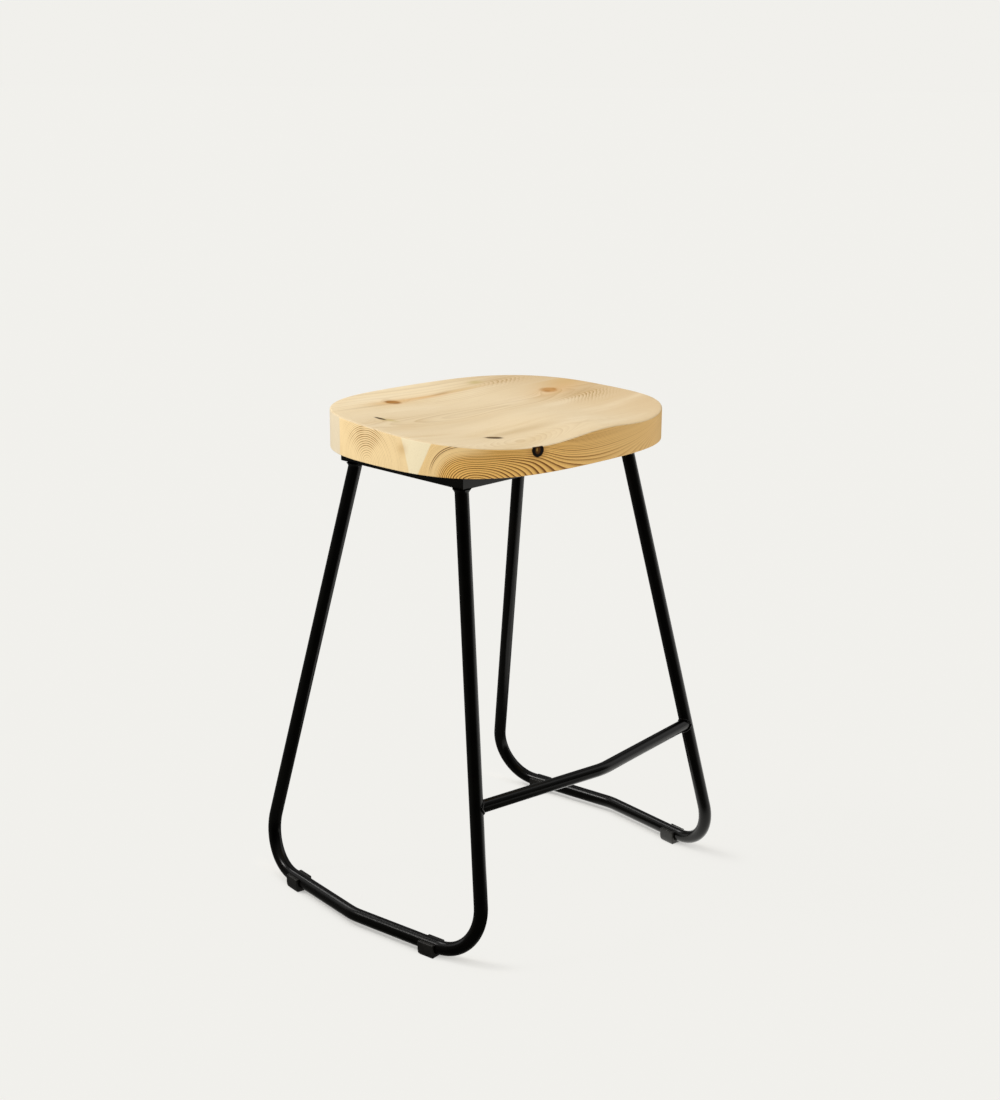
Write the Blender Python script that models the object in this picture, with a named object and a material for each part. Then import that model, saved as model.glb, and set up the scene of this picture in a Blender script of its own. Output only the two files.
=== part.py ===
"""Counter-height bar stool: a scooped pine seat on a welded steel tube frame with sled runners and a footrest.

Metres, +Z up. The front, where the footrest is, faces -Y. The origin is on the floor under the middle of the frame.
"""

import math

import bmesh
import bpy
from mathutils import Matrix, Vector

GAP = 0.0003  # clearance between two pieces that touch

# Side frames: one bent tube each, down a leg, along the floor and up the other leg
TUBE_RADIUS = 0.0086
TUBE_WALL = 0.0015
TUBE_SIDES = 20
LEG_TOP_X = 0.1505
LEG_TOP_Y = 0.0949
RUNNER_X = 0.2232  # where the lines of a leg and its runner cross
RUNNER_Y = 0.2080
RUNNER_BOW = 0.0247  # how far the runner's middle stands outwards from its ends
CORNER_BEND = 0.058
MIDDLE_BEND = 0.080

# Feet: clips that snap round the runners
FOOT_PAD = 0.0053  # rubber under the tube
FOOT_LENGTH = 0.024
FOOT_HALF_WIDTH = 0.0118
FOOT_BASE_HALF = 0.0075  # half width on the floor
FOOT_WALL_TOP = 0.0050  # the clip's two walls end this far over the tube's axis
FOOT_TOP_CHAMFER = 0.0012
FOOT_TAPER_START = -0.0045  # from here down the sides curve in towards the floor
FOOT_CHAMFER = 0.0025
FOOT_FROM_CORNER = 0.082  # along the runner, from where its line crosses the leg's
RUNNER_Z = FOOT_PAD + TUBE_RADIUS

# Footrest: a thinner tube between the front legs
FOOTREST_RADIUS = 0.0079
FOOTREST_Z = 0.197
FOOTREST_BOW = 0.025

# Seat frame: four mitred rails of square tube
FRAME_HALF_X = 0.157
FRAME_FRONT_Y = -0.104
FRAME_REAR_Y = 0.116
RAIL_SIZE = 0.021
RAIL_WALL = 0.0015
RAIL_CORNER = 0.0015
FRAME_TOP = 0.590
FRAME_BOTTOM = FRAME_TOP - RAIL_SIZE

# Seat: three boards glued edge to edge, then shaped
SEAT_BOTTOM = FRAME_TOP + GAP
SEAT_CENTRE_Y = -0.0072
SEAT_HARMONICS = {0: 0.1972, 2: 0.0207, 4: -0.0090, 6: -0.0025}  # outline's radius, as cosines of the angle
SEAT_HEIGHT = 0.0475  # at the middle, before it is hollowed
SEAT_BACK_RISE = 0.011  # per metre towards the back
SEAT_WIND = -0.06  # per metre squared, the slight twist of the hand-shaped top
SEAT_TOP_ROUND = 0.0025
SEAT_BOTTOM_ROUND = 0.0015
SCOOP_DEPTH = 0.0122
SCOOP_X = -0.010
SCOOP_HALF_WIDTH = 0.190
RIDGE_HEIGHT = 0.0080
RIDGE_X = 0.012
RIDGE_HALF_WIDTH = 0.070
SCOOP_FULL_Y = -0.085  # the scoop and its ridge fade out from here
SCOOP_END_Y = 0.060  # to here
DISH_DEPTH = 0.009
DISH_Y = 0.030
DISH_HALF_X = 0.136
DISH_HALF_Y = 0.080
JOINT_FRONT_Y = -0.060
JOINT_REAR_Y = 0.068
SEAT_ANGLES = 72
SEAT_RINGS = (0.9, 0.78, 0.64, 0.5, 0.36, 0.22, 0.1)

# Seat fixings: four tabs inside the front and rear rails, each with one wood screw
TAB_X = 0.095
TAB_WIDTH = 0.024
TAB_DEPTH = 0.016
TAB_THICKNESS = 0.002
TAB_HOLE_RADIUS = 0.0025
SCREW_INSET = 0.008  # from the rail's inner face
SCREW_RADIUS = 0.002
SCREW_LENGTH = 0.022
SCREW_HEAD_RADIUS = 0.004
SCREW_HEAD_HEIGHT = 0.0026
SCREW_TIP = 0.004
DRIVE_ARM = 0.0020
DRIVE_HALF_WIDTH = 0.0005
DRIVE_DEPTH = 0.0012

PINE = ((0.72, 0.50, 0.27), 0.5, 0.0)
BLACK_COAT = ((0.012, 0.011, 0.010), 0.38, 0.0)
BLACK_RUBBER = ((0.018, 0.018, 0.018), 0.7, 0.0)
ZINC = ((0.60, 0.60, 0.58), 0.35, 1.0)


def clear_scene():
    for obj in list(bpy.data.objects):
        bpy.data.objects.remove(obj)


def make_material(name, finish):
    color, roughness, metallic = finish
    material = bpy.data.materials.new(name)
    material.use_nodes = True
    shader = material.node_tree.nodes["Principled BSDF"]
    shader.inputs["Base Color"].default_value = (*color, 1.0)
    shader.inputs["Roughness"].default_value = roughness
    shader.inputs["Metallic"].default_value = metallic
    return material


def mesh_from(name, build):
    """A mesh from a bmesh, with its faces turned outwards and its round parts smooth."""
    bmesh.ops.recalc_face_normals(build, faces=build.faces)
    mesh = bpy.data.meshes.new(name)
    build.to_mesh(mesh)
    build.free()
    mesh.shade_smooth()
    mesh.set_sharp_from_angle(angle=math.radians(35))
    return mesh


def place(name, mesh, parent, material=None, location=(0.0, 0.0, 0.0), turn=0.0):
    obj = bpy.data.objects.new(name, mesh)
    bpy.context.scene.collection.objects.link(obj)
    obj.location = location
    obj.rotation_euler = (0.0, 0.0, turn)
    obj.parent = parent
    if material and not mesh.materials:
        mesh.materials.append(material)
    return obj


def cut(obj, cutter):
    """Takes the cutter's volume out of the object."""
    cutter.hide_render = True
    cutter.display_type = "WIRE"
    modifier = obj.modifiers.new("cut_" + cutter.name, "BOOLEAN")
    modifier.operation = "DIFFERENCE"
    modifier.solver = "EXACT"
    modifier.object = cutter


def bridge(build, first, second):
    """Quads between two closed rings of the same number of points."""
    for i, point in enumerate(first):
        following = (i + 1) % len(first)
        build.faces.new((point, first[following], second[following], second[i]))


def circle(radius, sides):
    steps = [2 * math.pi * i / sides for i in range(sides)]
    return [(radius * math.cos(a), radius * math.sin(a)) for a in steps]


def rounded_square(size, corner, steps=3):
    """Outline of a square with rounded corners, centred on the origin."""
    points = []
    for quarter in range(4):
        centre_angle = math.radians(45 + 90 * quarter)
        reach = (size / 2 - corner) * math.sqrt(2)
        centre = (reach * math.cos(centre_angle), reach * math.sin(centre_angle))
        for i in range(steps + 1):
            angle = math.radians(90 * quarter + 90 * i / steps)
            points.append((centre[0] + corner * math.cos(angle), centre[1] + corner * math.sin(angle)))
    return points


def rounded_path(corners, bends, steps):
    """The polyline through the corners, with an arc of the given bend radius at each inner corner."""
    points = [corners[0]]
    for before, corner, after, bend, count in zip(corners, corners[1:], corners[2:], bends, steps):
        back = (before - corner).normalized()
        ahead = (after - corner).normalized()
        half = back.angle(ahead) / 2
        centre = corner + (back + ahead).normalized() * (bend / math.sin(half))
        spoke = corner + back * (bend / math.tan(half)) - centre
        turned = math.pi - 2 * half
        axis = back.cross(ahead)
        for i in range(count + 1):
            points.append(centre + Matrix.Rotation(-turned * i / count, 3, axis) @ spoke)
    points.append(corners[-1])
    return points


def tube_rings(path, section, side, end_normals):
    """Rings of points, one for each path point. Both end rings lie in the planes with the given normals."""
    runs = [(b - a).normalized() for a, b in zip(path, path[1:])]
    rings = []
    for i, point in enumerate(path):
        before = runs[max(i - 1, 0)]
        after = runs[min(i, len(runs) - 1)]
        normal = (before + after).normalized()
        if i == 0:
            normal = end_normals[0]
        if i == len(path) - 1:
            normal = end_normals[1]
        side = (side - before * side.dot(before)).normalized()
        up = before.cross(side)
        ring = []
        for across, above in section:
            offset = side * across + up * above
            ring.append(point + offset - before * (offset.dot(normal) / before.dot(normal)))
        rings.append(ring)
    return rings


def tube_mesh(name, path, sections, side, end_normals):
    """A hollow tube, open at both ends, from its outer and inner sections."""
    build = bmesh.new()
    walls = []
    for section in sections:
        rings = tube_rings(path, section, side, end_normals)
        verts = [[build.verts.new(point) for point in ring] for ring in rings]
        for first, second in zip(verts, verts[1:]):
            bridge(build, first, second)
        walls.append(verts)
    for end in (0, -1):
        bridge(build, walls[0][end], walls[1][end])
    return mesh_from(name, build)


def leg_point(z, x_side, y_side):
    """The point of a leg's axis at this height."""
    down = (FRAME_BOTTOM - z) / (FRAME_BOTTOM - RUNNER_Z)
    x = LEG_TOP_X + (RUNNER_X - LEG_TOP_X) * down
    y = LEG_TOP_Y + (RUNNER_Y - LEG_TOP_Y) * down
    return Vector((x_side * x, y_side * y, z))


def add_side_frames(root, material):
    """Both side frames. Each is the same bent tube, turned half round for the other side."""
    leg_top = FRAME_BOTTOM - GAP
    corners = [
        leg_point(leg_top, -1, -1),
        leg_point(RUNNER_Z, -1, -1),
        Vector((-RUNNER_X - RUNNER_BOW, 0.0, RUNNER_Z)),
        leg_point(RUNNER_Z, -1, 1),
        leg_point(leg_top, -1, 1),
    ]
    path = rounded_path(corners, (CORNER_BEND, MIDDLE_BEND, CORNER_BEND), (10, 4, 10))
    sections = (circle(TUBE_RADIUS, TUBE_SIDES), circle(TUBE_RADIUS - TUBE_WALL, TUBE_SIDES))
    level = Vector((0.0, 0.0, 1.0))
    mesh = tube_mesh("side_frame", path, sections, Vector((1.0, 0.0, 0.0)), (level, level))
    place("side_frame_left", mesh, root, material)
    place("side_frame_right", mesh, root, turn=math.pi)


def cylinder_mesh(name, start, end, radius, sides):
    """A solid round bar between two points."""
    build = bmesh.new()
    along = end - start
    turn = along.to_track_quat("Z", "Y").to_matrix().to_4x4()
    place_at = Matrix.Translation((start + end) / 2) @ turn
    bmesh.ops.create_cone(
        build, cap_ends=True, segments=sides, radius1=radius, radius2=radius, depth=along.length, matrix=place_at
    )
    return mesh_from(name, build)


def add_footrest(root, material):
    """The footrest bar, with each end coped to fit round its leg."""
    ends = [leg_point(FOOTREST_Z, side, -1) for side in (-1, 1)]
    middle = (ends[0] + ends[1]) / 2 + Vector((0.0, -FOOTREST_BOW, 0.0))
    path = rounded_path([ends[0], middle, ends[1]], (MIDDLE_BEND,), (6,))
    sections = (circle(FOOTREST_RADIUS, TUBE_SIDES), circle(FOOTREST_RADIUS - TUBE_WALL, TUBE_SIDES))
    normals = ((path[1] - path[0]).normalized(), (path[-1] - path[-2]).normalized())
    mesh = tube_mesh("footrest_bar", path, sections, Vector((0.0, 0.0, 1.0)), normals)
    bar = place("footrest_bar", mesh, root, material)
    reach = 4 * TUBE_RADIUS
    for side, name in ((-1, "left"), (1, "right")):
        above = leg_point(FOOTREST_Z + reach, side, -1)
        below = leg_point(FOOTREST_Z - reach, side, -1)
        cope = cylinder_mesh("cope_" + name, below, above, TUBE_RADIUS + GAP, 40)
        cut(bar, place("cope_" + name, cope, root))


def rail_mesh(name, half_length):
    """A rail along X, centred on the origin, with its ends mitred at 45 degrees to turn towards +Y."""
    reach = half_length - RAIL_SIZE / 2 - GAP / math.sqrt(2)
    path = [Vector((-reach, 0.0, 0.0)), Vector((reach, 0.0, 0.0))]
    sections = (
        rounded_square(RAIL_SIZE, RAIL_CORNER),
        rounded_square(RAIL_SIZE - 2 * RAIL_WALL, RAIL_CORNER / 2),
    )
    normals = (Vector((1.0, -1.0, 0.0)).normalized(), Vector((1.0, 1.0, 0.0)).normalized())
    return tube_mesh(name, path, sections, Vector((0.0, 1.0, 0.0)), normals)


def add_rails(root, material):
    """The four rails of the seat frame."""
    z = (FRAME_TOP + FRAME_BOTTOM) / 2
    centre_x = FRAME_HALF_X - RAIL_SIZE / 2
    front_y = FRAME_FRONT_Y + RAIL_SIZE / 2
    rear_y = FRAME_REAR_Y - RAIL_SIZE / 2
    middle_y = (front_y + rear_y) / 2
    long_rail = rail_mesh("long_rail", FRAME_HALF_X)
    short_rail = rail_mesh("short_rail", (FRAME_REAR_Y - FRAME_FRONT_Y) / 2)
    place("rail_front", long_rail, root, material, (0.0, front_y, z))
    place("rail_rear", long_rail, root, None, (0.0, rear_y, z), math.pi)
    place("rail_left", short_rail, root, material, (-centre_x, middle_y, z), -math.pi / 2)
    place("rail_right", short_rail, root, None, (centre_x, middle_y, z), math.pi / 2)


def smooth_step(value):
    value = min(max(value, 0.0), 1.0)
    return value * value * (3 - 2 * value)


def seat_height(x, y):
    """Height of the seat's top over its flat underside: a dish behind, a scoop in front with a ridge in it."""
    fade = smooth_step((SCOOP_END_Y - y) / (SCOOP_END_Y - SCOOP_FULL_Y))
    scoop = SCOOP_DEPTH * math.exp(-(((x - SCOOP_X) / SCOOP_HALF_WIDTH) ** 4))
    ridge = RIDGE_HEIGHT * math.exp(-(((x - RIDGE_X) / RIDGE_HALF_WIDTH) ** 2))
    dish = DISH_DEPTH * math.exp(-((x / DISH_HALF_X) ** 2) - ((y - DISH_Y) / DISH_HALF_Y) ** 2)
    blank = SEAT_HEIGHT + SEAT_BACK_RISE * y + SEAT_WIND * x * y
    return blank - fade * (scoop - ridge) - dish


def seat_outline(angle):
    return sum(size * math.cos(order * angle) for order, size in SEAT_HARMONICS.items())


def seat_ring(build, inset, drop, scale=1.0, on_top=True):
    """One ring of the seat, set in from the outline and dropped from the top, or raised from the underside."""
    ring = []
    for i in range(SEAT_ANGLES):
        angle = 2 * math.pi * i / SEAT_ANGLES
        reach = (seat_outline(angle) - inset) * scale
        x = reach * math.cos(angle)
        y = reach * math.sin(angle) + SEAT_CENTRE_Y
        height = seat_height(x, y) - drop if on_top else drop
        ring.append(build.verts.new((x, y, SEAT_BOTTOM + height)))
    return ring


def whole_seat():
    """The seat as one solid, before it is split at its glue joints."""
    build = bmesh.new()
    half = 1 - math.sqrt(0.5)
    rings = [
        seat_ring(build, SEAT_BOTTOM_ROUND, 0.0, on_top=False),
        seat_ring(build, SEAT_BOTTOM_ROUND * half, SEAT_BOTTOM_ROUND * half, on_top=False),
        seat_ring(build, 0.0, SEAT_BOTTOM_ROUND, on_top=False),
        seat_ring(build, 0.0, SEAT_TOP_ROUND),
        seat_ring(build, SEAT_TOP_ROUND * half, SEAT_TOP_ROUND * half),
        seat_ring(build, SEAT_TOP_ROUND, 0.0),
    ]
    rings += [seat_ring(build, SEAT_TOP_ROUND, 0.0, scale) for scale in SEAT_RINGS]
    for first, second in zip(rings, rings[1:]):
        bridge(build, first, second)
    middle = build.verts.new((0.0, SEAT_CENTRE_Y, SEAT_BOTTOM + seat_height(0.0, SEAT_CENTRE_Y)))
    for i, point in enumerate(rings[-1]):
        build.faces.new((point, rings[-1][(i + 1) % SEAT_ANGLES], middle))
    build.faces.new(rings[0])
    bmesh.ops.recalc_face_normals(build, faces=build.faces)
    return build


def trim(build, y, keep_front):
    """Cuts the solid at a plane across Y, keeps one side and closes it."""
    geometry = build.verts[:] + build.edges[:] + build.faces[:]
    bmesh.ops.bisect_plane(
        build,
        geom=geometry,
        dist=1e-7,
        plane_co=(0.0, y, 0.0),
        plane_no=(0.0, 1.0 if keep_front else -1.0, 0.0),
        clear_outer=True,
    )
    rim = [edge for edge in build.edges if edge.is_boundary]
    bmesh.ops.contextual_create(build, geom=rim)


def board_mesh(name, front, rear):
    """The slice of the seat between two planes across Y. None leaves that side whole."""
    build = whole_seat()
    if front is not None:
        trim(build, front, keep_front=False)
    if rear is not None:
        trim(build, rear, keep_front=True)
    return mesh_from(name, build)


def add_seat_boards(root, material):
    """The three boards, front to rear."""
    half_gap = GAP / 2
    return {
        "front": place(
            "seat_board_front",
            board_mesh("seat_board_front", None, JOINT_FRONT_Y - half_gap),
            root,
            material,
        ),
        "middle": place(
            "seat_board_middle",
            board_mesh("seat_board_middle", JOINT_FRONT_Y + half_gap, JOINT_REAR_Y - half_gap),
            root,
            material,
        ),
        "rear": place(
            "seat_board_rear",
            board_mesh("seat_board_rear", JOINT_REAR_Y + half_gap, None),
            root,
            material,
        ),
    }


def tab_mesh():
    """A flat tab, origin on its top face at the middle, with its two free corners rounded."""
    build = bmesh.new()
    bmesh.ops.create_cube(build, size=1.0)
    bmesh.ops.scale(build, vec=(TAB_WIDTH, TAB_DEPTH, TAB_THICKNESS), verts=build.verts)
    bmesh.ops.translate(build, vec=(0.0, 0.0, -TAB_THICKNESS / 2), verts=build.verts)
    free = [e for e in build.edges if all(v.co.y > 0 for v in e.verts) and e.verts[0].co.x == e.verts[1].co.x]
    bmesh.ops.bevel(build, geom=free, offset=0.004, segments=4, affect="EDGES", profile=0.5)
    return mesh_from("seat_tab", build)


def screw_mesh():
    """A pan-head wood screw that points up, origin where its head meets its shank."""
    profile = [
        (SCREW_HEAD_RADIUS * 0.55, -SCREW_HEAD_HEIGHT),
        (SCREW_HEAD_RADIUS * 0.86, -SCREW_HEAD_HEIGHT * 0.82),
        (SCREW_HEAD_RADIUS, -SCREW_HEAD_HEIGHT * 0.45),
        (SCREW_HEAD_RADIUS, 0.0),
        (SCREW_RADIUS, 0.0),
        (SCREW_RADIUS, SCREW_LENGTH - SCREW_TIP),
        (SCREW_RADIUS * 0.15, SCREW_LENGTH),
    ]
    build = bmesh.new()
    rings = [[build.verts.new((x, y, z)) for x, y in circle(radius, 16)] for radius, z in profile]
    for first, second in zip(rings, rings[1:]):
        bridge(build, first, second)
    build.faces.new(rings[0])
    build.faces.new(rings[-1])
    return mesh_from("seat_screw", build)


def drive_mesh():
    """The cross recess that is cut into a screw's head, origin as the screw's."""
    arm, half = DRIVE_ARM, DRIVE_HALF_WIDTH
    corner = [(arm, -half), (arm, half), (half, half)]
    outline = []
    for quarter in range(4):
        turn = Matrix.Rotation(quarter * math.pi / 2, 2)
        outline += [turn @ Vector(point) for point in corner]
    build = bmesh.new()
    levels = (-SCREW_HEAD_HEIGHT - GAP, -SCREW_HEAD_HEIGHT + DRIVE_DEPTH)
    rings = [[build.verts.new((x, y, z)) for x, y in outline] for z in levels]
    bridge(build, rings[0], rings[1])
    build.faces.new(rings[0])
    build.faces.new(rings[1])
    return mesh_from("drive", build)


def add_fixings(root, boards, coat, zinc):
    """The four tabs and their screws, with the holes that the screws go through."""
    tab = tab_mesh()
    screw = screw_mesh()
    drive = drive_mesh()
    for rail_y, inwards, row in ((FRAME_FRONT_Y, 1, "front"), (FRAME_REAR_Y, -1, "rear")):
        inner_y = rail_y + inwards * (RAIL_SIZE + GAP)
        tab_y = inner_y + inwards * TAB_DEPTH / 2
        y = inner_y + inwards * SCREW_INSET
        for x_side, side in ((-1, "left"), (1, "right")):
            where = f"{row}_{side}"
            x = x_side * TAB_X
            head_z = FRAME_TOP - TAB_THICKNESS - GAP
            axis_low = Vector((x, y, FRAME_TOP - 2 * TAB_THICKNESS))
            axis_tab = Vector((x, y, FRAME_TOP + TAB_THICKNESS))
            axis_high = Vector((x, y, head_z + SCREW_LENGTH + 4 * GAP))
            turn = 0.0 if inwards > 0 else math.pi
            plate = place(f"seat_tab_{where}", tab, root, coat, (x, tab_y, FRAME_TOP), turn)
            hole = cylinder_mesh(f"tab_hole_{where}", axis_low, axis_tab, TAB_HOLE_RADIUS, 24)
            cut(plate, place(f"tab_hole_{where}", hole, root))
            pilot = cylinder_mesh(f"pilot_{where}", axis_low, axis_high, SCREW_RADIUS + GAP, 24)
            cut(boards[row], place(f"pilot_{where}", pilot, root))
            fixing = place(f"seat_screw_{where}", screw, root, zinc, (x, y, head_z))
            cut(fixing, place(f"drive_{where}", drive, root, None, (x, y, head_z)))


def foot_section():
    """A foot's cross-section as (side, height over the tube's axis): a clip round the tube over a tapered pad."""
    inner = TUBE_RADIUS + GAP
    right = [
        (FOOT_HALF_WIDTH - FOOT_TOP_CHAMFER, FOOT_WALL_TOP),
        (FOOT_HALF_WIDTH, FOOT_WALL_TOP - FOOT_TOP_CHAMFER),
    ]
    steps = 5
    for i in range(steps + 1):
        turn = math.pi / 2 * i / steps
        across = FOOT_BASE_HALF + (FOOT_HALF_WIDTH - FOOT_BASE_HALF) * math.cos(turn)
        above = FOOT_TAPER_START - (FOOT_TAPER_START + RUNNER_Z) * math.sin(turn)
        right.append((across, above))
    left = [(-across, above) for across, above in reversed(right)]
    grip = math.asin(FOOT_WALL_TOP / inner)
    seat = []
    steps = 18
    for i in range(steps + 1):
        angle = math.pi - grip + i * (math.pi + 2 * grip) / steps
        seat.append((inner * math.cos(angle), inner * math.sin(angle)))
    return right + left + seat


def foot_mesh():
    """A foot whose clip runs along Y, origin on the floor. The pad's bottom edges are chamfered all round."""
    half = FOOT_LENGTH / 2
    stations = ((-half, FOOT_CHAMFER), (FOOT_CHAMFER - half, 0.0), (half - FOOT_CHAMFER, 0.0), (half, FOOT_CHAMFER))
    build = bmesh.new()
    rings = []
    for y, lift in stations:
        ring = [(x, y, max(z + RUNNER_Z, lift)) for x, z in foot_section()]
        rings.append([build.verts.new(point) for point in ring])
    for first, second in zip(rings, rings[1:]):
        bridge(build, first, second)
    build.faces.new(rings[0])
    build.faces.new(rings[-1])
    return mesh_from("foot", build)


def add_feet(root, material):
    """One foot near each end of each runner."""
    mesh = foot_mesh()
    heading = math.atan2(RUNNER_BOW, RUNNER_Y)
    for y_side, row in ((-1, "front"), (1, "rear")):
        for x_side, side in ((-1, "left"), (1, "right")):
            x = x_side * (RUNNER_X + FOOT_FROM_CORNER * math.sin(heading))
            y = y_side * (RUNNER_Y - FOOT_FROM_CORNER * math.cos(heading))
            turn = x_side * y_side * heading
            place(f"foot_{row}_{side}", mesh, root, material, (x, y, 0.0), turn)


def main():
    clear_scene()
    root = bpy.data.objects.new("bar_stool", None)
    bpy.context.scene.collection.objects.link(root)
    coat = make_material("black_coat", BLACK_COAT)
    boards = add_seat_boards(root, make_material("pine", PINE))
    add_rails(root, coat)
    add_fixings(root, boards, coat, make_material("zinc", ZINC))
    add_side_frames(root, coat)
    add_footrest(root, coat)
    add_feet(root, make_material("black_rubber", BLACK_RUBBER))


main()
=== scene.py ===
"""The bar stool's looks: a scooped pine seat on a black powder-coated frame, in a pale studio.

Metres, +Z up, the front faces -Y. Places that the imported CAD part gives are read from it, and the other sizes
repeat those of its source.
"""

import math

import bmesh
import bpy
from mathutils import Matrix, Vector


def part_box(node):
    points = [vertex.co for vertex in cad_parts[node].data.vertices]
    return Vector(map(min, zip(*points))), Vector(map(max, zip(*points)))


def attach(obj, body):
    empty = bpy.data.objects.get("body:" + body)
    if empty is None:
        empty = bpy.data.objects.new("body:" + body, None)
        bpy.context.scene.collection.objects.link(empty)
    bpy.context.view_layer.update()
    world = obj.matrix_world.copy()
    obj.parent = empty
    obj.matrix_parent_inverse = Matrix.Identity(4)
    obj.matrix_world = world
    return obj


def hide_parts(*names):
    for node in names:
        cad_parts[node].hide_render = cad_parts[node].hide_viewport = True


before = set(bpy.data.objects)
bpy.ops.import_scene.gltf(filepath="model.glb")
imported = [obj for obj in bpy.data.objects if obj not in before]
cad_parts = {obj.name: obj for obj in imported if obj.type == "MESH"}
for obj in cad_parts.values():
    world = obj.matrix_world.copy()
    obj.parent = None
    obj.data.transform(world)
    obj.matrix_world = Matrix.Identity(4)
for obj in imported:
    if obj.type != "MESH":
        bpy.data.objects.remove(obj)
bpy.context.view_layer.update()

# Places that follow from the CAD nodes
SIDE_LOW, SIDE_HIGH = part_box("side_frame_left")
RAIL_LOW, RAIL_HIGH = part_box("rail_front")
REAR_RAIL_LOW, REAR_RAIL_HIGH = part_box("rail_rear")
BOARD_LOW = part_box("seat_board_middle")[0]
FRONT_BOARD_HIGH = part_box("seat_board_front")[1]
MIDDLE_BOARD_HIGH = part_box("seat_board_middle")[1]

# Frame tubes
TUBE_RADIUS = 0.0086
TUBE_WALL = 0.0015
TUBE_SIDES = 48
CORNER_STEPS = 28
MIDDLE_STEPS = 12
FOOTREST_STEPS = 16
RUNNER_Z = SIDE_LOW.z + TUBE_RADIUS
LEG_TOP_X = 0.1505
LEG_TOP_Y = 0.0949
RUNNER_X = 0.2232
RUNNER_Y = 0.2080
RUNNER_BOW = 0.0247
CORNER_BEND = 0.058
MIDDLE_BEND = 0.080
FOOTREST_RADIUS = 0.0079
FOOTREST_Z = 0.197
FOOTREST_BOW = 0.025

# Seat frame of square tube
FRAME_TOP = RAIL_HIGH.z
FRAME_BOTTOM = RAIL_LOW.z
RAIL_SIZE = FRAME_TOP - FRAME_BOTTOM
FRAME_HALF_X = RAIL_HIGH.x
FRAME_FRONT_Y = RAIL_LOW.y
FRAME_REAR_Y = REAR_RAIL_HIGH.y
RAIL_WALL = 0.0015
RAIL_CORNER = 0.0015
MITRE_GAP = 0.00004

# Feet
FOOT_LENGTH = 0.024
FOOT_HALF_WIDTH = 0.0118
FOOT_BASE_HALF = 0.0075
FOOT_WALL_TOP = 0.0050
FOOT_TOP_CHAMFER = 0.0012
FOOT_TAPER_START = -0.0045
FOOT_CHAMFER = 0.0025
FOOT_FROM_CORNER = 0.082
FOOT_CLEARANCE = 0.00015
FOOT_EDGE_ROUND = 0.0005
FOOT_TOP_STEPS = 4
FOOT_SIDE_STEPS = 12
FOOT_SEAT_STEPS = 40

# Seat
SEAT_BOTTOM = BOARD_LOW.z
SEAT_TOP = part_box("seat_board_rear")[1].z
SEAT_CENTRE_Y = -0.0072
# The outline's radius is the sum of these, each with the cosine of its multiple of the angle
SEAT_HARMONICS = {0: 0.1972, 2: 0.0207, 4: -0.0090, 6: -0.0025}
SEAT_HEIGHT = 0.0475
SEAT_BACK_RISE = 0.011
SEAT_WIND = -0.06
SEAT_TOP_ROUND = 0.0025
SEAT_BOTTOM_ROUND = 0.0015
TOP_ROUND_STEPS = 6
BOTTOM_ROUND_STEPS = 5
SCOOP_DEPTH = 0.0122
SCOOP_X = -0.010
SCOOP_HALF_WIDTH = 0.190
RIDGE_HEIGHT = 0.0080
RIDGE_X = 0.012
RIDGE_HALF_WIDTH = 0.070
SCOOP_FULL_Y = -0.085
SCOOP_END_Y = 0.060
DISH_DEPTH = 0.009
DISH_Y = 0.030
DISH_HALF_X = 0.136
DISH_HALF_Y = 0.080
SEAT_ANGLES = 288
SEAT_RING_COUNT = 34
HALF_GLUE_LINE = 0.00003
HALF_CAD_GAP = 0.00015
JOINT_FRONT_Y = FRONT_BOARD_HIGH.y + HALF_CAD_GAP
JOINT_REAR_Y = MIDDLE_BOARD_HIGH.y + HALF_CAD_GAP

# Welds
WELD_HEIGHT = 0.0058
WELD_REACH = 0.0030
WELD_STEPS = 8
WELD_OVERLAP = 0.0002
WELD_INNER_OVERLAP = 0.0006
WELD_GAP = 0.0001
BEAD_RADIUS = 0.0017
BEAD_SIDES = 12

SHARP_DEGREES = 35

# Black coat, plastic and zinc
COAT_DARK = (0.0006, 0.0005, 0.0003)
COAT_PALE = (0.0016, 0.0014, 0.0008)
PLASTIC_DARK = (0.0060, 0.0055, 0.0042)
PLASTIC_PALE = (0.0120, 0.0110, 0.0085)
ZINC_DARK = (0.46, 0.47, 0.48)
ZINC_PALE = (0.68, 0.67, 0.62)
CLOUD_SPAN = (-0.25, 0.25)

# Studio
BACKDROP = (0.879, 0.871, 0.838)
DOME_TINT = (1.0, 0.995, 0.985)
FLOOR_RADIUS = 40.0
FLOOR_LIGHT = 1.15  # what the dome and the key give a white floor, over the backdrop
PLAIN_ALBEDO = 0.02
SHADOW_ALBEDO = 0.55
BAND_END_Y = (0.25, 0.20)
BAND_HALF_WIDTH = 0.009
BAND_SHIFT = 0.001
LEAN_Y = (-0.10, -0.23)  # towards the front the band leans to the right and widens
LEAN_SHIFT = 0.026
LEAN_WIDENING = 0.009
KEY_STRENGTH = 1.1
KEY_DEGREES = 14
KEY_COLOUR = (1.0, 0.985, 0.955)
KEY_PLACE = Vector((-0.70, 0.62, 1.15))
CAMERA_PLACE = Vector((-1.61402, -1.58967, 1.08388))
CAMERA_TARGET = Vector((0.01266, 0.0, 0.44180))
CAMERA_ROLL = 0.429
CAMERA_LENS = 59.39


# --- mesh helpers ---


def mesh_from(name, build):
    bmesh.ops.recalc_face_normals(build, faces=build.faces)
    mesh = bpy.data.meshes.new(name)
    build.to_mesh(mesh)
    build.free()
    mesh.shade_smooth()
    mesh.set_sharp_from_angle(angle=math.radians(SHARP_DEGREES))
    return mesh


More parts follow.
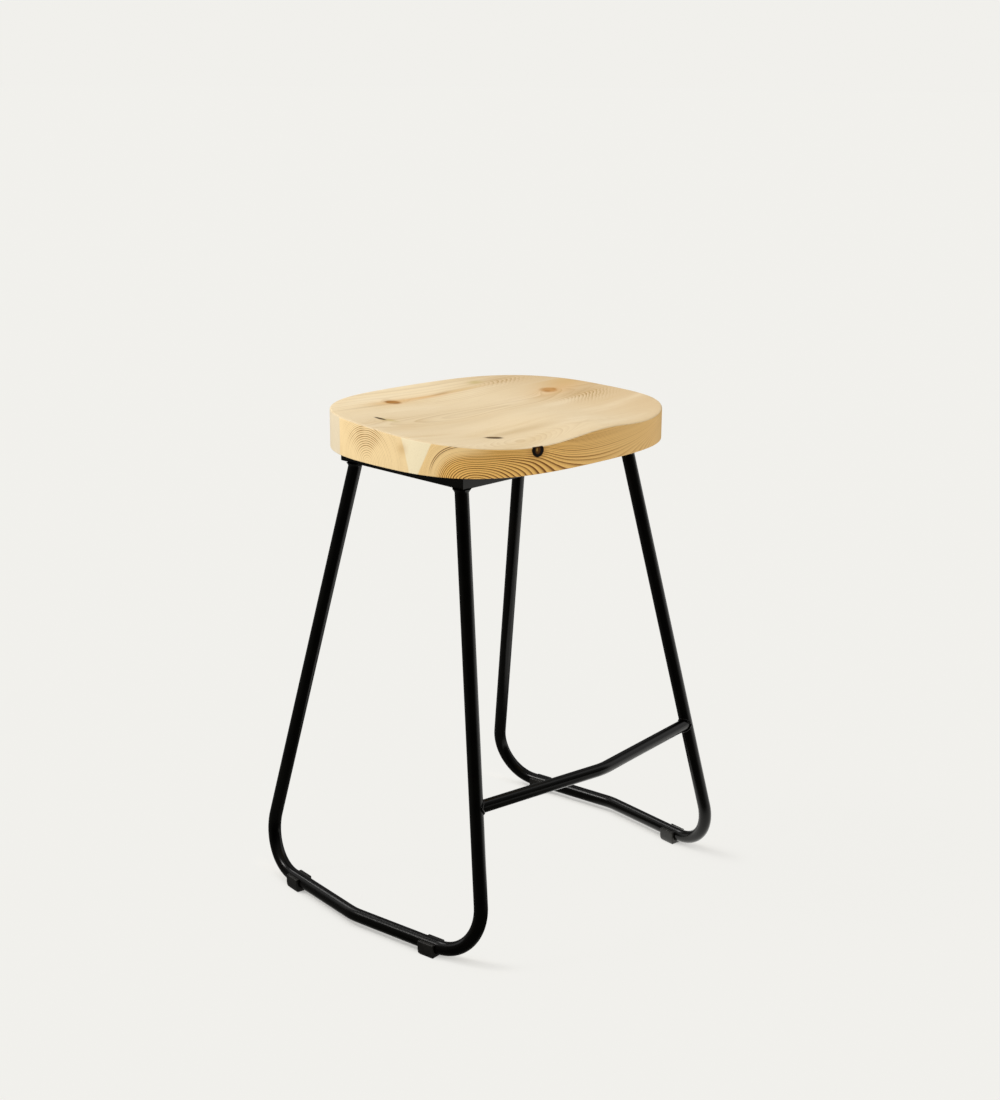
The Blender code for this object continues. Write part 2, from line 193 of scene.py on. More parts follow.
def add_piece(name, mesh, material, replaces=(), place=None):
    """A finished piece in the scene, riding on the stool's one body."""
    obj = bpy.data.objects.new(name, mesh)
    bpy.context.scene.collection.objects.link(obj)
    if place is not None:
        obj.matrix_world = place
    mesh.materials.clear()
    mesh.materials.append(material)
    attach(obj, "root")
    if replaces:
        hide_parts(*replaces)
    return obj


def bridge(build, first, second):
    for i, point in enumerate(first):
        following = (i + 1) % len(first)
        build.faces.new((point, first[following], second[following], second[i]))


def circle(radius, sides):
    steps = [2 * math.pi * i / sides for i in range(sides)]
    return [(radius * math.cos(a), radius * math.sin(a)) for a in steps]


def rounded_square(size, corner, steps=6):
    points = []
    for quarter in range(4):
        centre_angle = math.radians(45 + 90 * quarter)
        reach = (size / 2 - corner) * math.sqrt(2)
        centre = (reach * math.cos(centre_angle), reach * math.sin(centre_angle))
        for i in range(steps + 1):
            angle = math.radians(90 * quarter + 90 * i / steps)
            points.append((centre[0] + corner * math.cos(angle), centre[1] + corner * math.sin(angle)))
    return points


def rounded_path(corners, bends, steps):
    """The polyline through the corners, with an arc of the given bend radius at each inner corner."""
    points = [corners[0]]
    for before, corner, after, bend, count in zip(corners, corners[1:], corners[2:], bends, steps):
        back = (before - corner).normalized()
        ahead = (after - corner).normalized()
        half = back.angle(ahead) / 2
        centre = corner + (back + ahead).normalized() * (bend / math.sin(half))
        spoke = corner + back * (bend / math.tan(half)) - centre
        turned = math.pi - 2 * half
        axis = back.cross(ahead)
        for i in range(count + 1):
            points.append(centre + Matrix.Rotation(-turned * i / count, 3, axis) @ spoke)
    points.append(corners[-1])
    return points


def tube_rings(path, section, side, end_normals):
    """Rings of points, one for each path point. Both end rings lie in the planes with the given normals."""
    runs = [(b - a).normalized() for a, b in zip(path, path[1:])]
    rings = []
    for i, point in enumerate(path):
        before = runs[max(i - 1, 0)]
        after = runs[min(i, len(runs) - 1)]
        normal = (before + after).normalized()
        if i == 0:
            normal = end_normals[0]
        if i == len(path) - 1:
            normal = end_normals[1]
        side = (side - before * side.dot(before)).normalized()
        up = before.cross(side)
        ring = []
        for across, above in section:
            offset = side * across + up * above
            ring.append(point + offset - before * (offset.dot(normal) / before.dot(normal)))
        rings.append(ring)
    return rings


def tube_mesh(name, path, sections, side, end_normals):
    """A hollow tube, open at both ends, from its outer and inner sections."""
    build = bmesh.new()
    walls = []
    for section in sections:
        rings = tube_rings(path, section, side, end_normals)
        verts = [[build.verts.new(point) for point in ring] for ring in rings]
        for first, second in zip(verts, verts[1:]):
            bridge(build, first, second)
        walls.append(verts)
    for end in (0, -1):
        bridge(build, walls[0][end], walls[1][end])
    return mesh_from(name, build)


# --- materials: arithmetic on values that change over a surface ---


def plug(tree, value, socket):
    """Links a field to a node's socket, or sets the socket to a constant."""
    if isinstance(value, Field):
        tree.links.new(value.socket, socket)
    elif hasattr(value, "__len__") and len(value) == 3 and len(socket.default_value) == 4:
        socket.default_value = (*value, 1.0)
    else:
        socket.default_value = value


class Field:
    """A value that changes over a surface. Arithmetic on it adds nodes to its material."""

    def __init__(self, tree, socket):
        self.tree = tree
        self.socket = socket

    def math(self, operation, *others):
        node = self.tree.nodes.new("ShaderNodeMath")
        node.operation = operation
        for value, socket in zip((self, *others), node.inputs):
            plug(self.tree, value, socket)
        return Field(self.tree, node.outputs[0])

    def __add__(self, other):
        return self.math("ADD", other)

    __radd__ = __add__

    def __mul__(self, other):
        return self.math("MULTIPLY", other)

    __rmul__ = __mul__

    def __sub__(self, other):
        return self.math("SUBTRACT", other)

    def __rsub__(self, other):
        return (self * -1.0) + other

    def __truediv__(self, other):
        return self.math("DIVIDE", other)

    def __pow__(self, other):
        return self.math("POWER", other)

    def ramp(self, low, high):
        """0 at the first value and beyond it, 1 at the second and beyond, and smooth between them."""
        node = self.tree.nodes.new("ShaderNodeMapRange")
        node.interpolation_type = "SMOOTHSTEP"
        plug(self.tree, self, node.inputs["Value"])
        if low < high:
            plug(self.tree, low, node.inputs["From Min"])
            plug(self.tree, high, node.inputs["From Max"])
            return Field(self.tree, node.outputs[0])
        plug(self.tree, high, node.inputs["From Min"])
        plug(self.tree, low, node.inputs["From Max"])
        return 1.0 - Field(self.tree, node.outputs[0])


def sum_of_squares(values):
    total = values[0] * values[0]
    for value in values[1:]:
        total = total + value * value
    return total


def hypot(*sides):
    return sum_of_squares(sides).math("SQRT")


def bell(*offsets):
    """1 where every offset is 0, falling smoothly towards 0 as they pass 1."""
    return (sum_of_squares(offsets) * -1.0).math("EXPONENT")


def noise(x, y, z, detail=2.0, roughness=0.5):
    """Smooth random values around 0, from about -0.5 to 0.5."""
    tree = x.tree
    place = tree.nodes.new("ShaderNodeCombineXYZ")
    for value, socket in zip((x, y, z), place.inputs):
        plug(tree, value, socket)
    node = tree.nodes.new("ShaderNodeTexNoise")
    node.inputs["Scale"].default_value = 1.0
    node.inputs["Detail"].default_value = detail
    node.inputs["Roughness"].default_value = roughness
    tree.links.new(place.outputs[0], node.inputs["Vector"])
    return Field(tree, node.outputs[0]) - 0.5


def mix(first, second, share, blend="MIX"):
    tree = share.tree
    node = tree.nodes.new("ShaderNodeMix")
    node.data_type = "RGBA"
    node.blend_type = blend
    node.clamp_factor = True
    sockets = [s for s in node.inputs if s.type == "RGBA"]
    plug(tree, share, node.inputs[0])
    plug(tree, first, sockets[0])
    plug(tree, second, sockets[1])
    return Field(tree, [s for s in node.outputs if s.type == "RGBA"][0])


def new_material(name):
    material = bpy.data.materials.new(name)
    material.use_nodes = True
    return material, material.node_tree, material.node_tree.nodes["Principled BSDF"]


def split(tree, socket):
    node = tree.nodes.new("ShaderNodeSeparateXYZ")
    tree.links.new(socket, node.inputs[0])
    return [Field(tree, output) for output in node.outputs]


def position(tree):
    """x, y and z in metres in the stool's frame."""
    return split(tree, tree.nodes.new("ShaderNodeTexCoord").outputs["Object"])


def upward(tree):
    """How far the surface faces up: 1 on a level top, 0 on a wall."""
    return split(tree, tree.nodes.new("ShaderNodeNewGeometry").outputs["Normal"])[2]


def bump(tree, shader, height, distance, strength=1.0):
    node = tree.nodes.new("ShaderNodeBump")
    node.inputs["Distance"].default_value = distance
    node.inputs["Strength"].default_value = strength
    tree.links.new(height.socket, node.inputs["Height"])
    tree.links.new(node.outputs[0], shader.inputs["Normal"])


# --- pine ---

# Growth rings.
# pith: y and z of the tree's middle.
# oval, flat: how sideways distance counts, near the pith and by the metre away from it.
# sharp: how thin the dark late wood is.
# slow, fast: how the number of rings grows with the radius, and with its cube.
# contrast: how dark late wood gets.
# seed: where the noise is read.
# fade: how much the rings come and go.
# sap: y and z of a place on the sapwood's edge, its slope, and the distances over which sapwood sets in.
BOARDS = {
    "front": dict(
        pith=(-0.1366, 0.5851),
        oval=0.75,
        flat=4.0,
        sharp=2.8,
        slow=340.0,
        fast=7.0e4,
        contrast=1.45,
        seed=3.1,
        fade=0.15,
        sap=(-0.0734, 0.5913, 0.469, (-0.0012, 0.0008)),
    ),
    "middle": dict(
        pith=(0.0100, 0.5930),
        oval=1.0,
        flat=0.0,
        sharp=2.4,
        slow=330.0,
        fast=2.0e4,
        contrast=1.0,
        seed=7.7,
        fade=0.5,
        early=(0.98, 0.745, 0.405),
        late=(0.30, 0.13, 0.020),
        sap=(-0.0608, 0.5925, -0.302, (0.0010, -0.0008)),
    ),
    "rear": dict(
        pith=(0.175, 0.500),
        oval=1.0,
        flat=0.0,
        sharp=2.4,
        slow=260.0,
        fast=1.0e3,
        contrast=0.40,
        seed=12.4,
        fade=0.5,
        early=(0.83, 0.71, 0.51),
        late=(0.70, 0.53, 0.31),
        sap=None,
    ),
}

# Wood colours
SAPWOOD = (0.96, 0.83, 0.56)
FRONT_EARLY_LEFT = (1.0, 0.585, 0.165)
FRONT_EARLY_RIGHT = (0.78, 0.50, 0.190)
FRONT_EARLY_END = (0.60, 0.40, 0.155)
FRONT_EARLY_OUTER = (0.97, 0.70, 0.34)
FRONT_LATE_LEFT = (0.15, 0.045, 0.003)
FRONT_LATE_RIGHT = (0.40, 0.19, 0.045)
TOP_EARLY = (0.775, 0.625, 0.405)
TOP_EARLY_RIGHT = (0.68, 0.510, 0.300)
TOP_EARLY_REAR = (0.88, 0.72, 0.47)
TOP_LATE = (0.44, 0.26, 0.09)
DARK_BLOTCH = (0.62, 0.43, 0.19)
PALE_BLOTCH = (0.88, 0.76, 0.56)
FIBRE = (0.55, 0.36, 0.15)
PORE = (0.42, 0.25, 0.09)
SMEAR = (0.60, 0.36, 0.13)
ORANGE = (0.70, 0.34, 0.07)
HONEY = (0.62, 0.38, 0.12)
RUST = (0.24, 0.075, 0.006)
RED_KNOT = (0.19, 0.052, 0.002)
PITCH = (0.035, 0.013, 0.001)
OLIVE = (0.46, 0.36, 0.08)
TAN = (0.50, 0.34, 0.15)
KNOT_HALO = (0.44, 0.22, 0.06)
KNOT_RIM = (0.003, 0.0010, 0.0003)
KNOT_WOOD = (0.080, 0.026, 0.002)
# A painted glint: the pale spot where the big knot catches the light
KNOT_PAINTED_GLINT = (0.30, 0.17, 0.035)

# Where one look turns into the next. Each runs from where the change is nil to where it is whole: a place in
# metres or, in a TILT, how far the surface faces up.
FRONT_BROWNER_X = (-0.16, 0.08)
FRONT_DULLER_X = (0.11, 0.20)
FRONT_FAINTER_X = (-0.06, 0.08)
OUTER_RINGS_RADIUS = (0.027, 0.041)
OUTER_RINGS_X = (-0.145, -0.180)
FALSE_RINGS_X = (-0.160, -0.185)
FALSE_RINGS_Z = (0.588, 0.615)
TOP_RIGHT_X = (0.02, 0.20)
TOP_LEFT_X = (0.12, -0.02)
TOP_REAR_Y = (0.02, 0.13)
# The top's paler colour reaches down onto the rounded edge, where it is a painted highlight along the rim
TOP_AND_PAINTED_RIM_TILT = (0.30, 0.70)
STAIN_TILT = (0.2, 0.6)
KNOT_EDGE_TILT = (0.78, 0.97)

FALSE_RING_RADII = (0.0452, 0.0473)
FALSE_RING_HALF_WIDTH = 0.00042
SAP_LATE_LOSS = 0.85
# Where the middle board's rings are clear on its left end: y, z, half width, half height
CLEAR_RINGS = (0.0120, 0.6270, 0.026, 0.018)
# A brown smear on the middle board's left end: y, z, reach
SMEAR_PLACE = (-0.0500, 0.6180, 0.0070)

# The big knot on the front wall
KNOT_WALL = Vector((-0.0988, -0.1699, 0.6190))
KNOT_TANGENT = Vector((0.9797, -0.2004))
KNOT_RADIUS = 0.0082
KNOT_DEPTH = (0.0060, 0.0035)

# Where a branch under the surface makes the rings swell: x, y, reach, swell
SWELLS = {
    "front": (),
    "middle": ((0.134, 0.030, 0.022, 0.010), (-0.162, 0.036, 0.016, 0.006)),
    "rear": ((-0.085, 0.097, 0.022, 0.012),),
}
# The same round the big knot: reach along the wall, reach up it, swell
KNOT_SWELL = (0.042, 0.020, 0.0052)

# Feather figure on the top, nested points that run with the grain: middle x, y, half length, half width,
# spacing, strength
FIGURES = {
    "front": (),
    "middle": ((0.156, -0.014, 0.034, 0.024, 0.0070, 1.9),),
    "rear": ((0.125, 0.112, 0.034, 0.016, 0.0085, 1.5),),
}

# Marks on the top: middle x, y, turn in degrees, half length, half width, colour, strength
STAINS = {
    "front": (
        (-0.1045, -0.1028, -48.0, 0.0100, 0.0050, PITCH, 0.97),
        (-0.0500, -0.1040, -12.0, 0.0420, 0.0100, TAN, 0.40),
        (-0.0900, -0.0990, 0.0, 0.0300, 0.0060, TAN, 0.25),
    ),
    "middle": (
        (-0.1620, 0.0350, -82.0, 0.0085, 0.0030, PITCH, 0.97),
        (-0.1560, 0.0220, -70.0, 0.0090, 0.0050, OLIVE, 0.48),
        (0.1340, 0.0300, -20.0, 0.0120, 0.0115, (0.42, 0.19, 0.045), 0.80),
        (0.1280, 0.0270, -40.0, 0.0050, 0.0040, (0.30, 0.12, 0.02), 0.60),
        (0.1430, 0.0290, 60.0, 0.0060, 0.0030, (0.34, 0.15, 0.03), 0.60),
        (0.1440, 0.0260, 10.0, 0.0450, 0.0190, ORANGE, 0.30),
        (0.1900, 0.0500, 5.0, 0.0420, 0.0260, HONEY, 0.50),
        (-0.0500, -0.0250, 3.0, 0.0800, 0.0070, TAN, 0.16),
        (0.0200, 0.0100, -3.0, 0.1000, 0.0080, TAN, 0.14),
    ),
    "rear": (
        (-0.0845, 0.0980, -30.0, 0.0098, 0.0085, RED_KNOT, 0.96),
        (-0.0830, 0.0975, 0.0, 0.0300, 0.0110, ORANGE, 0.42),
        (-0.0250, 0.1000, 0.0, 0.0400, 0.0050, ORANGE, 0.48),
        (0.0060, 0.1030, 6.0, 0.0200, 0.0030, RUST, 0.42),
        (0.0450, 0.1040, 0.0, 0.0450, 0.0045, HONEY, 0.48),
        (0.0880, 0.1230, 10.0, 0.0120, 0.0080, OLIVE, 0.50),
        (-0.1250, 0.0930, 0.0, 0.0500, 0.0030, TAN, 0.40),
    ),
}
SHARP_STAIN = 0.5  # marks stronger than this have a ragged edge
SUNKEN_STAIN = 0.8  # and these are sunk as well


def turned(x, y, cx, cy, degrees):
    """x and y measured from a centre, along and across a direction that is turned from the grain."""
    c, s = math.cos(math.radians(degrees)), math.sin(math.radians(degrees))
    dx, dy = x - cx, y - cy
    return dx * c + dy * s, dy * c - dx * s


def wall_place(x, y, z):
    """Distance along the seat's front wall, and up it, from the big knot's middle."""
    along = (x - KNOT_WALL.x) * KNOT_TANGENT.x + (y - KNOT_WALL.y) * KNOT_TANGENT.y
    return along, z - KNOT_WALL.z


def growth_rings(name, x, y, z):
    """How dark the late wood is here, from 0, and the distance from the pith."""
    board = BOARDS[name]
    pith_y, pith_z = board["pith"]
    shift = board["seed"]
    wander = noise(x * 5.0 + shift, y * 14.0, z * 14.0, 1.0)
    drift = noise(x * 4.0 - shift, y * 11.0, z * 11.0 + 5.0, 1.0)
    across = y - pith_y + wander * 0.004
    across = across * (across.math("ABSOLUTE") * board["flat"] + board["oval"])
    above = z - pith_z + drift * 0.004
    radius = hypot(across, above)
    for cx, cy, reach, swell in SWELLS[name]:
        radius = radius - bell((x - cx) / reach, (y - cy) / (reach * 0.6)) * swell
    if name == "front":
        along, up = wall_place(x, y, z)
        radius = radius - bell(along / KNOT_SWELL[0], up / KNOT_SWELL[1]) * KNOT_SWELL[2]
    ripple = noise(x * 16.0, y * 90.0 + shift, z * 90.0, 1.0)
    count = radius * board["slow"] + (radius**3.0) * board["fast"] + ripple * 0.22
    number = count.math("FLOOR")
    part = count - number
    late = (part ** board["sharp"]) * part.ramp(1.0, 0.90)
    tree = x.tree
    dice = tree.nodes.new("ShaderNodeTexWhiteNoise")
    dice.noise_dimensions = "1D"
    plug(tree, number + shift, dice.inputs["W"])
    luck = Field(tree, dice.outputs["Value"])
    fade = noise(x * 9.0, y * 45.0 + shift, z * 45.0, 1.0).ramp(-0.25, 0.15)
    fade = fade * board["fade"] + (1.0 - board["fade"])
    return late * fade * (luck * 1.0 + 0.75), radius


def front_wood(x, z, late, radius):
    """The front board's early and late colours and its rings, which get fainter to the right."""
    browner = x.ramp(*FRONT_BROWNER_X)
    outer_rings = radius.ramp(*OUTER_RINGS_RADIUS) * x.ramp(*OUTER_RINGS_X)
    early_colour = mix(FRONT_EARLY_LEFT, FRONT_EARLY_RIGHT, browner)
    early_colour = mix(early_colour, FRONT_EARLY_END, x.ramp(*FRONT_DULLER_X) * 0.9)
    early_colour = mix(early_colour, FRONT_EARLY_OUTER, outer_rings * 0.9)
    late_colour = mix(FRONT_LATE_LEFT, FRONT_LATE_RIGHT, browner)
    late = late * (1.0 - outer_rings * 0.72)
    late = late * (1.0 - x.ramp(*FRONT_FAINTER_X) * 0.65)
    for ring_radius in FALSE_RING_RADII:
        line = bell((radius - ring_radius) / FALSE_RING_HALF_WIDTH)
        late = late + line * x.ramp(*FALSE_RINGS_X) * z.ramp(*FALSE_RINGS_Z) * 0.75
    return early_colour, late_colour, late


def sapwood_share(place, x, y, z):
    """1 in the pale sapwood, 0 in the heartwood."""
    edge_y, edge_z, slope, span = place
    curve = noise(x * 3.0, y * 30.0, z * 60.0, 1.0) * 0.0015
    return (y - edge_y + (z - edge_z) * slope + curve).ramp(*span)


def figure(x, y, cx, cy, half_long, half_wide, spacing, strength):
    """The darkness of nested points of grain that run towards +X, fading out around their middle."""
    aside = ((y - cy) * (y - cy) + 0.003**2).math("SQRT")
    wobble = noise(x * 60.0, y * 110.0, y * 0.0, 2.0) * 0.008
    count = (x - cx + aside * 1.28 + wobble) / spacing
    part = count.math("FRACT")
    line = (part**2.5) * part.ramp(1.0, 0.85)
    return line * bell((x - cx) / half_long, (y - cy) / half_wide) * strength


def top_wood(name, x, y, late):
    """The colour of the seat's top, which is cut along the grain: faint rings, and the feather figure."""
    top_late = late * 0.25
    for place in FIGURES[name]:
        top_late = top_late + figure(x, y, *place)
    base = mix(TOP_EARLY, TOP_EARLY_RIGHT, x.ramp(*TOP_RIGHT_X))
    base = mix(base, TOP_EARLY_REAR, y.ramp(*TOP_REAR_Y) * x.ramp(*TOP_LEFT_X) * 0.8)
    return mix(base, TOP_LATE, top_late)


def stained(colour, name, x, y, z, normal_z):
    """The colour with the marks of this board's top, and how deep they are sunk."""
    dent = x * 0.0
    for cx, cy, degrees, half_long, half_wide, tint, strength in STAINS[name]:
        along, across = turned(x, y, cx, cy, degrees)
        spot = bell(along / half_long, across / half_wide) * strength
        if strength > SHARP_STAIN:
            edge = noise(x * 300.0, y * 300.0, z * 300.0, 1.0) * 0.5
            spot = (spot + edge * spot).ramp(0.10, 0.55) * strength
        colour = mix(colour, tint, spot * normal_z.ramp(*STAIN_TILT))
        if strength > SUNKEN_STAIN:
            dent = dent + spot
    return colour, dent


def knotted(colour, x, y, z, on_top, normal_z):
    """The colour with the big knot of the front wall, with a painted glint on it, and how deep it is sunk."""
    along, up = wall_place(x, y, z)
    wobble = noise(x * 160.0, y * 160.0, z * 160.0, 2.0) * 0.0022
    reach = hypot(along * 0.95, up) + wobble
    halo = reach.ramp(KNOT_RADIUS * 2.1, KNOT_RADIUS * 0.9)
    colour = mix(colour, KNOT_HALO, halo * 0.5 * (1.0 - on_top))
    inward = (x - KNOT_WALL.x) * -KNOT_TANGENT.y + (y - KNOT_WALL.y) * KNOT_TANGENT.x
    body = reach.ramp(KNOT_RADIUS * 1.04, KNOT_RADIUS * 0.90) * inward.ramp(*KNOT_DEPTH)
    body = body * (1.0 - normal_z.ramp(*KNOT_EDGE_TILT))
    core = hypot(along + 0.0002, (up - 0.0008) * 0.75) + wobble * 0.9
    # A pale tan spot up and left of the knot's middle is painted: a glint of light on the knot
    painted_glint = hypot(along + 0.0012, (up - 0.0012) * 0.55).ramp(0.0016, 0.0006)
    inside = mix(KNOT_RIM, KNOT_WOOD, core.ramp(0.0046, 0.0026))
    inside = mix(inside, KNOT_PAINTED_GLINT, painted_glint)
    return mix(colour, inside, body), body * 0.4


def pine(name):
    board = BOARDS[name]
    material, tree, shader = new_material("pine_" + name)
    x, y, z = position(tree)
    normal_z = upward(tree)
    # 1 on the top, and on the upper part of its rounded edge, where the top's paler colour is a painted
    # highlight along the rim
    on_top = normal_z.ramp(*TOP_AND_PAINTED_RIM_TILT)
    late, radius = growth_rings(name, x, y, z)

    if name == "front":
        early_colour, late_colour, late = front_wood(x, z, late, radius)
    else:
        early_colour, late_colour = board["early"], board["late"]
    if name == "middle":
        clear_y, clear_z, half_wide, half_high = CLEAR_RINGS
        late = late * (bell((y - clear_y) / half_wide, (z - clear_z) / half_high) * 1.3 + 0.35)
    if board["sap"]:
        sap = sapwood_share(board["sap"], x, y, z)
        early_colour = mix(early_colour, SAPWOOD, sap)
        late = late * (1.0 - sap * SAP_LATE_LOSS)
    side_colour = mix(early_colour, late_colour, late * board["contrast"])
    # The top's colour also covers the upper part of the rounded edge, a painted highlight along the rim
    colour = mix(side_colour, top_wood(name, x, y, late), on_top)

    blotch = noise(x * 6.0 + board["seed"], y * 34.0, z * 12.0, 4.0)
    colour = mix(colour, DARK_BLOTCH, blotch.ramp(0.0, 0.30) * 0.45 * on_top)
    colour = mix(colour, PALE_BLOTCH, blotch.ramp(0.0, -0.30) * 0.45 * on_top)
    fibre = noise(x * 22.0, y * 900.0, z * 900.0, 3.0, 0.6)
    colour = mix(colour, FIBRE, fibre.ramp(0.02, 0.30) * 0.22)
    pore = noise(x * 60.0 + 9.0, y * 1500.0, z * 1500.0, 1.0)
    colour = mix(colour, PORE, pore.ramp(0.17, 0.30) * 0.25)

    if name == "middle":
        smear_y, smear_z, reach = SMEAR_PLACE
        smear = bell((y - smear_y) / reach, (z - smear_z) / reach)
        colour = mix(colour, SMEAR, smear * 0.5 * (1.0 - on_top))
    colour, dent = stained(colour, name, x, y, z, normal_z)
    if name == "front":
        colour, knot_dent = knotted(colour, x, y, z, on_top, normal_z)
        dent = dent + knot_dent
    tree.links.new(colour.socket, shader.inputs["Base Color"])
    shader.inputs["Roughness"].default_value = 0.48
    shader.inputs["Specular IOR Level"].default_value = 0.08
    bump(tree, shader, fibre * 0.35 + late * 0.45 - dent * 3.0, 0.00012, 0.5)
    return material


# --- seat boards ---


def smooth_step(value):
    value = min(max(value, 0.0), 1.0)
    return value * value * (3 - 2 * value)


def seat_height(x, y):
    """Height of the seat's top over its flat underside, as in the CAD part."""
    fade = smooth_step((SCOOP_END_Y - y) / (SCOOP_END_Y - SCOOP_FULL_Y))
    scoop = SCOOP_DEPTH * math.exp(-(((x - SCOOP_X) / SCOOP_HALF_WIDTH) ** 4))
    ridge = RIDGE_HEIGHT * math.exp(-(((x - RIDGE_X) / RIDGE_HALF_WIDTH) ** 2))
    dish = DISH_DEPTH * math.exp(-((x / DISH_HALF_X) ** 2) - ((y - DISH_Y) / DISH_HALF_Y) ** 2)
    blank = SEAT_HEIGHT + SEAT_BACK_RISE * y + SEAT_WIND * x * y
    return blank - fade * (scoop - ridge) - dish


def seat_outline(angle):
    return sum(size * math.cos(order * angle) for order, size in SEAT_HARMONICS.items())


def seat_ring(build, inset, drop, scale=1.0, on_top=True):
    ring = []
    for i in range(SEAT_ANGLES):
        angle = 2 * math.pi * i / SEAT_ANGLES
        reach = (seat_outline(angle) - inset) * scale
        x = reach * math.cos(angle)
        y = reach * math.sin(angle) + SEAT_CENTRE_Y
        height = seat_height(x, y) - drop if on_top else drop
        ring.append(build.verts.new((x, y, min(SEAT_BOTTOM + height, SEAT_TOP))))
    return ring


def rounding(radius, steps):
    """Insets and drops of an edge that turns from the wall to the flat, in equal steps of angle."""
    turns = [math.pi / 2 * i / steps for i in range(steps + 1)]
    return [(radius * (1 - math.cos(a)), radius * (1 - math.sin(a))) for a in turns]


def whole_seat():
    build = bmesh.new()
    rings = []
    for inset, drop in reversed(rounding(SEAT_BOTTOM_ROUND, BOTTOM_ROUND_STEPS)):
        rings.append(seat_ring(build, inset, drop, on_top=False))
    for inset, drop in rounding(SEAT_TOP_ROUND, TOP_ROUND_STEPS):
        rings.append(seat_ring(build, inset, drop))
    for i in range(SEAT_RING_COUNT - 1, 0, -1):
        rings.append(seat_ring(build, SEAT_TOP_ROUND, 0.0, i / SEAT_RING_COUNT))
    for first, second in zip(rings, rings[1:]):
        bridge(build, first, second)
    middle = build.verts.new((0.0, SEAT_CENTRE_Y, SEAT_BOTTOM + seat_height(0.0, SEAT_CENTRE_Y)))
    for i, point in enumerate(rings[-1]):
        build.faces.new((point, rings[-1][(i + 1) % SEAT_ANGLES], middle))
    build.faces.new(rings[0])
    bmesh.ops.recalc_face_normals(build, faces=build.faces)
    return build


def trim(build, y, keep_front):
    geometry = build.verts[:] + build.edges[:] + build.faces[:]
    bmesh.ops.bisect_plane(
        build,
        geom=geometry,
        dist=1e-7,
        plane_co=(0.0, y, 0.0),
        plane_no=(0.0, 1.0 if keep_front else -1.0, 0.0),
        clear_outer=True,
    )
    rim = [edge for edge in build.edges if edge.is_boundary]
    bmesh.ops.contextual_create(build, geom=rim)


def add_boards():
    cuts = {
        "front": (None, JOINT_FRONT_Y - HALF_GLUE_LINE),
        "middle": (JOINT_FRONT_Y + HALF_GLUE_LINE, JOINT_REAR_Y - HALF_GLUE_LINE),
        "rear": (JOINT_REAR_Y + HALF_GLUE_LINE, None),
    }
    for name, (front, rear) in cuts.items():
        build = whole_seat()
        if front is not None:
            trim(build, front, keep_front=False)
        if rear is not None:
            trim(build, rear, keep_front=True)
        mesh = mesh_from("pine_board_" + name, build)
        add_piece("pine_board_" + name, mesh, pine(name), ["seat_board_" + name])


# --- black coat, plastic and zinc ---


def black_coat():
    material, tree, shader = new_material("black_coat")
    x, y, z = position(tree)
    peel = noise(x * 900.0, y * 900.0, z * 900.0, 2.0)
    cloud = noise(x * 30.0, y * 30.0, z * 30.0, 2.0)
    colour = mix(COAT_DARK, COAT_PALE, cloud.ramp(*CLOUD_SPAN))
    tree.links.new(colour.socket, shader.inputs["Base Color"])
    gloss = cloud * 0.08 + 0.21
    tree.links.new(gloss.socket, shader.inputs["Roughness"])
    shader.inputs["Specular IOR Level"].default_value = 0.15
    bump(tree, shader, peel, 0.00008, 0.25)
    return material


def black_plastic():
    material, tree, shader = new_material("black_plastic")
    x, y, z = position(tree)
    grain = noise(x * 2200.0, y * 2200.0, z * 2200.0, 2.0)
    cloud = noise(x * 60.0, y * 60.0, z * 60.0, 2.0)
    colour = mix(PLASTIC_DARK, PLASTIC_PALE, cloud.ramp(*CLOUD_SPAN))
    tree.links.new(colour.socket, shader.inputs["Base Color"])
    shader.inputs["Roughness"].default_value = 0.52
    shader.inputs["Specular IOR Level"].default_value = 0.30
    bump(tree, shader, grain, 0.00006, 0.4)
    return material


def zinc():
    material, tree, shader = new_material("zinc_plate")
    x, y, z = position(tree)
    cloud = noise(x * 400.0, y * 400.0, z * 400.0, 3.0)
    colour = mix(ZINC_DARK, ZINC_PALE, cloud.ramp(*CLOUD_SPAN))
    tree.links.new(colour.socket, shader.inputs["Base Color"])
    shader.inputs["Metallic"].default_value = 1.0
    gloss = cloud * 0.25 + 0.34
    tree.links.new(gloss.socket, shader.inputs["Roughness"])
    bump(tree, shader, cloud, 0.00005, 0.4)
    return material


# --- frame ---


def leg_point(z, x_side, y_side):
    down = (FRAME_BOTTOM - z) / (FRAME_BOTTOM - RUNNER_Z)
    x = LEG_TOP_X + (RUNNER_X - LEG_TOP_X) * down
    y = LEG_TOP_Y + (RUNNER_Y - LEG_TOP_Y) * down
    return Vector((x_side * x, y_side * y, z))


def half_turn():
    return Matrix.Rotation(math.pi, 4, "Z")


def add_side_frames(coat):
    leg_top = SIDE_HIGH.z
    corners = [
        leg_point(leg_top, -1, -1),
        leg_point(RUNNER_Z, -1, -1),
        Vector((-RUNNER_X - RUNNER_BOW, 0.0, RUNNER_Z)),
        leg_point(RUNNER_Z, -1, 1),
        leg_point(leg_top, -1, 1),
    ]
    steps = (CORNER_STEPS, MIDDLE_STEPS, CORNER_STEPS)
    path = rounded_path(corners, (CORNER_BEND, MIDDLE_BEND, CORNER_BEND), steps)
    sections = (circle(TUBE_RADIUS, TUBE_SIDES), circle(TUBE_RADIUS - TUBE_WALL, TUBE_SIDES))
    level = Vector((0.0, 0.0, 1.0))
    for side, turn in (("left", None), ("right", half_turn())):
        mesh = tube_mesh("side_tube_" + side, path, sections, Vector((1.0, 0.0, 0.0)), (level, level))
        add_piece("side_tube_" + side, mesh, coat, ["side_frame_" + side], turn)


